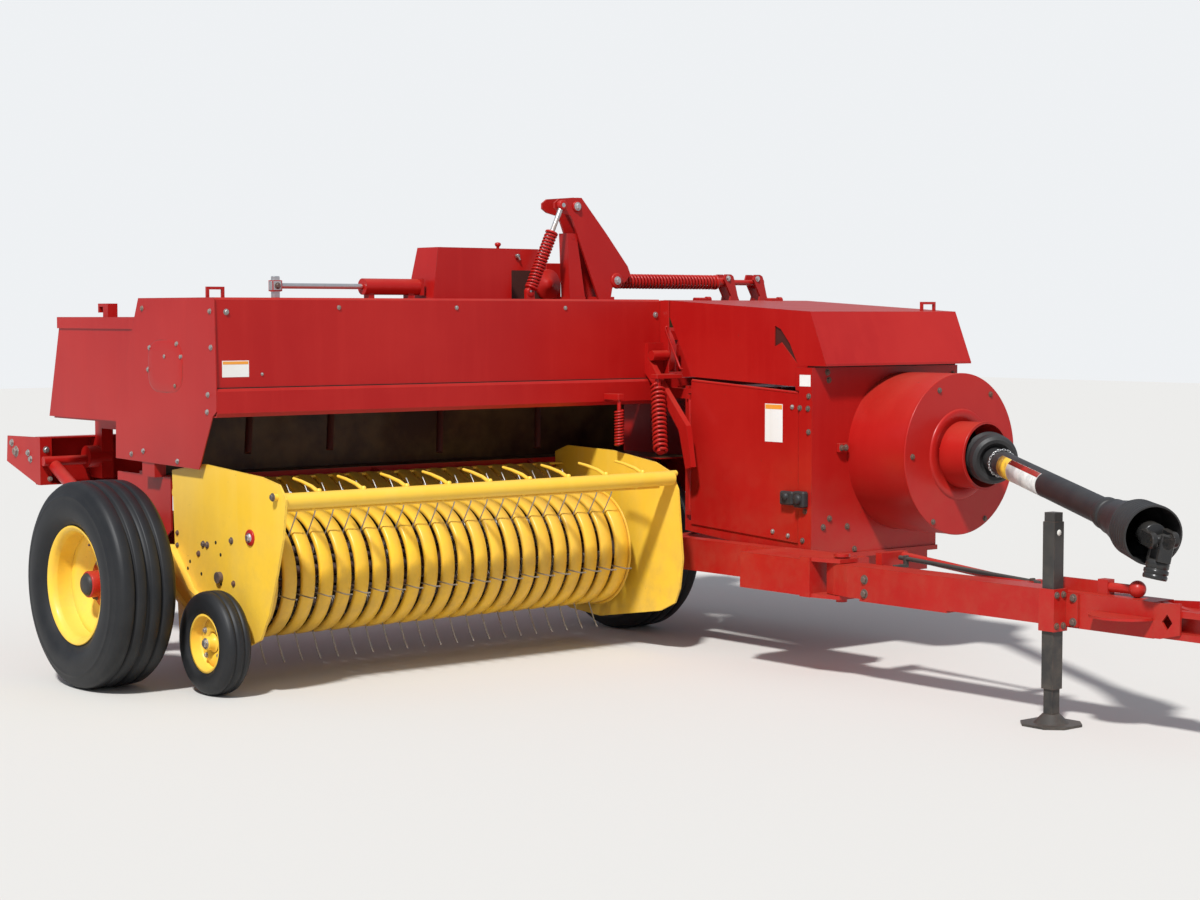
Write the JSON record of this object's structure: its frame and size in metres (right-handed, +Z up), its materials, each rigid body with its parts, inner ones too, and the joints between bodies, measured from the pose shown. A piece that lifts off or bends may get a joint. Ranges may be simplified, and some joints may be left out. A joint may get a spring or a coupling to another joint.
{
  "type": "square baler",
  "caption": "Towed hay baler: side pickup reel with stripper bands, feeder hood, bale chamber, flywheel housing, swinging drawbar with jack and power shaft.",
  "frame": {"origin": "on the ground under the middle of the whole outline", "axes": "+X to the machine's left, +Y to its rear, +Z up"},
  "size_m": [3.285, 5.39, 1.758],
  "materials": {
    "red_paint": "sun-worn gloss paint",
    "yellow_paint": "worn gloss paint",
    "black_paint": "satin paint",
    "steel": "worn bare steel",
    "iron": "raw",
    "tyre": "dusty rubber",
    "black_plastic": "satin"
  },
  "bodies": {
    "chassis": {"main_frame": "red_paint", "axle": "red_paint", "bale_chamber": "red_paint", "tension_rails": "red_paint", "bale_chute": "red_paint", "knotter_stand": "red_paint", "needle_guard": "red_paint", "feeder_housing": "red_paint", "feeder_hood": "red_paint", "hood_lip": "red_paint", "hood_end_panel": "red_paint", "twine_box": "red_paint", "rear_beam": "red_paint", "gear_housing": "red_paint", "flywheel_guard": "red_paint", "top_box": "red_paint", "spring_tower": "red_paint", "tower_spring": "red_paint", "stroke_spring": "red_paint", "metering_rod": "red_paint", "lift_arm": "red_paint", "lift_springs": "red_paint", "feeder_tines": "steel", "gearbox": "iron"},
    "right_wheel": {"right_tyre": "tyre", "right_rim": "yellow_paint"},
    "left_wheel": {"left_tyre": "tyre", "left_rim": "yellow_paint"},
    "pickup": {"pickup_frame": "yellow_paint", "strippers": "yellow_paint", "gauge_arm": "yellow_paint"},
    "pickup_reel": {"reel": "steel"},
    "crop_guard": {"wind_guard": "yellow_paint"},
    "gauge_wheel": {"gauge_tyre": "tyre", "gauge_rim": "yellow_paint"},
    "drawbar": {"tongue": "red_paint", "hitch": "red_paint", "jack_tube": "black_paint"},
    "jack": {"jack_leg": "black_paint"},
    "shaft_guard": {"pto_guard": "black_plastic"},
    "power_shaft": {"pto_shaft": "steel"},
    "drive_wheel": {"flywheel": "iron"},
    "box_lid": {"twine_lid": "red_paint"},
    "housing_hood": {"front_hood": "red_paint"},
    "housing_door": {"side_door": "red_paint"}
  },
  "joints": [
    {"name": "right_wheel_roll", "type": "hinge", "parent": "chassis", "child": "right_wheel", "pos_m": [-1.49, 0.595, 0.36], "axis": [1, 0, 0], "continuous": true},
    {"name": "left_wheel_roll", "type": "hinge", "parent": "chassis", "child": "left_wheel", "pos_m": [0.903, 0.595, 0.345], "axis": [1, 0, 0], "continuous": true},
    {"name": "pickup_lift", "type": "hinge", "parent": "chassis", "child": "pickup", "pos_m": [-0.314, 0.625, 0.66], "axis": [-1, 0, 0], "range_deg": [0, 16], "deforming": ["lift_springs"]},
    {"name": "reel_turn", "type": "hinge", "parent": "pickup", "child": "pickup_reel", "pos_m": [-0.314, 0.298, 0.385], "axis": [-1, 0, 0], "continuous": true},
    {"name": "guard_float", "type": "hinge", "parent": "pickup", "child": "crop_guard", "pos_m": [-0.314, -0.082, 0.688], "axis": [1, 0, 0], "range_deg": [0, 30]},
    {"name": "gauge_wheel_roll", "type": "hinge", "parent": "pickup", "child": "gauge_wheel", "pos_m": [-1.27, 0.192, 0.178], "axis": [1, 0, 0], "continuous": true},
    {"name": "drawbar_swing", "type": "hinge", "parent": "chassis", "child": "drawbar", "pos_m": [0.573, -0.97, 0.367], "axis": [0, 0, 1], "range_deg": [0, 24]},
    {"name": "jack_slide", "type": "slide", "parent": "drawbar", "child": "jack", "axis": [0, 0, 1], "range_m": [0, 0.07]},
    {"name": "shaft_swing", "type": "hinge", "parent": "chassis", "child": "shaft_guard", "pos_m": [1.298, -0.999, 0.771], "axis": [0, 0, 1], "range_deg": [0, 26.4]},
    {"name": "shaft_spin", "type": "hinge", "parent": "shaft_guard", "child": "power_shaft", "pos_m": [1.298, -0.999, 0.771], "axis": [0.4943, 0.8639, 0.0969], "continuous": true},
    {"name": "flywheel_spin", "type": "hinge", "parent": "chassis", "child": "drive_wheel", "pos_m": [1.298, -0.705, 0.771], "axis": [0, 1, 0], "continuous": true},
    {"name": "lid_open", "type": "hinge", "parent": "chassis", "child": "box_lid", "pos_m": [-0.648, 0.847, 1.277], "axis": [1, 0, 0], "range_deg": [0, 80]},
    {"name": "hood_open", "type": "hinge", "parent": "chassis", "child": "housing_hood", "pos_m": [1.217, 0.291, 1.352], "axis": [-1, 0, 0], "range_deg": [0, 50]},
    {"name": "door_open", "type": "hinge", "parent": "chassis", "child": "housing_door", "pos_m": [0.817, 0.111, 0.74], "axis": [0, 0, -1], "range_deg": [0, 25]}
  ],
  "couplings": [
    {"joint": "shaft_swing", "follows": "drawbar_swing", "ratio": 1.1},
    {"joint": "shaft_spin", "follows": "flywheel_spin", "ratio": 1}
  ]
}
